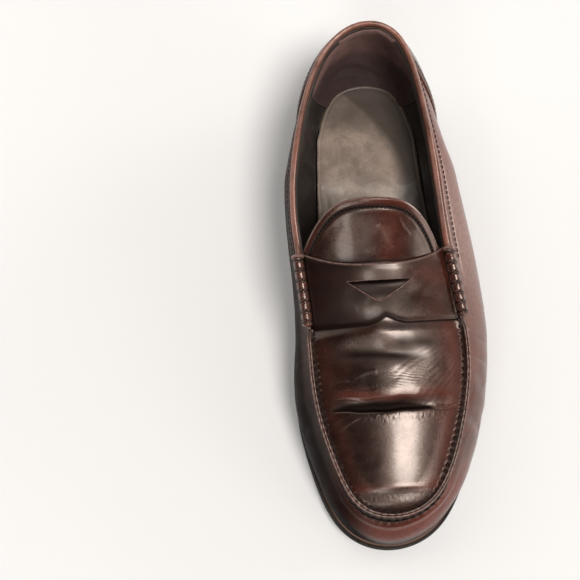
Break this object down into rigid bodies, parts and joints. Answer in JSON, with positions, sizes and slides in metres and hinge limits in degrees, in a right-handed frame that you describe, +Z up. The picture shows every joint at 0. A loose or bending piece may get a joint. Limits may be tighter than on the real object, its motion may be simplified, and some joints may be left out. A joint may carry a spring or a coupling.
{
  "type": "penny loafer",
  "caption": "Left slip-on moccasin loafer: polished leather upper, raised toe seam, slotted saddle strap, lifting tongue, lined foot cavity and a low stacked heel.",
  "frame": {"origin": "on the ground, at the middle of the shoe's length and width", "axes": "-Y towards the toe, +Y towards the heel, +X towards the lateral (outer) side of the left foot, +Z up"},
  "size_m": [0.1113, 0.2881, 0.095],
  "materials": {
    "sole_rubber": "matte",
    "sole_edge": "waxed edge",
    "nail": "bare",
    "steel": "bare",
    "cork": "ground cork",
    "board": "leatherboard",
    "foam": "foam",
    "tape": "woven tape",
    "sock": "satin",
    "calf": "polished",
    "piping": "polished",
    "lining": "satin",
    "grip": "suede",
    "thread": "waxed thread"
  },
  "bodies": {
    "shoe": {"outsole": "sole_rubber", "midsole": "sole_edge", "heel_lift_upper": "sole_edge", "heel_lift_lower": "sole_edge", "heel_top_piece": "sole_rubber", "heel_nails": "nail", "sole_thread": "thread", "shank": "steel", "cork_filler": "cork", "insole_board": "board", "heel_pad": "foam", "sock_liner": "sock", "moccasin_wall": "calf", "plug": "calf", "heel_cover": "calf", "toe_puff": "board", "heel_counter": "board", "vamp_lining": "lining", "plug_lining": "lining", "quarter_lining": "lining", "heel_grip": "grip", "collar_foam": "foam", "topline_tape": "tape", "topline_binding": "piping", "saddle_strap": "calf", "strap_roll_lateral": "piping", "strap_roll_medial": "piping", "seam_thread": "thread", "roll_thread_lateral": "thread", "roll_thread_medial": "thread", "topline_thread": "thread", "heel_cover_thread": "thread"},
    "tongue_flap": {"tongue": "calf", "tongue_lining": "lining", "tongue_thread": "thread"}
  },
  "joints": [
    {"name": "tongue_lift", "type": "hinge", "parent": "shoe", "child": "tongue_flap", "pos_m": [-0.0105, 0.0025, 0.077], "axis": [1, 0, 0], "range_deg": [0, 40], "stiffness_Nm_per_rad": 0.05}
  ]
}
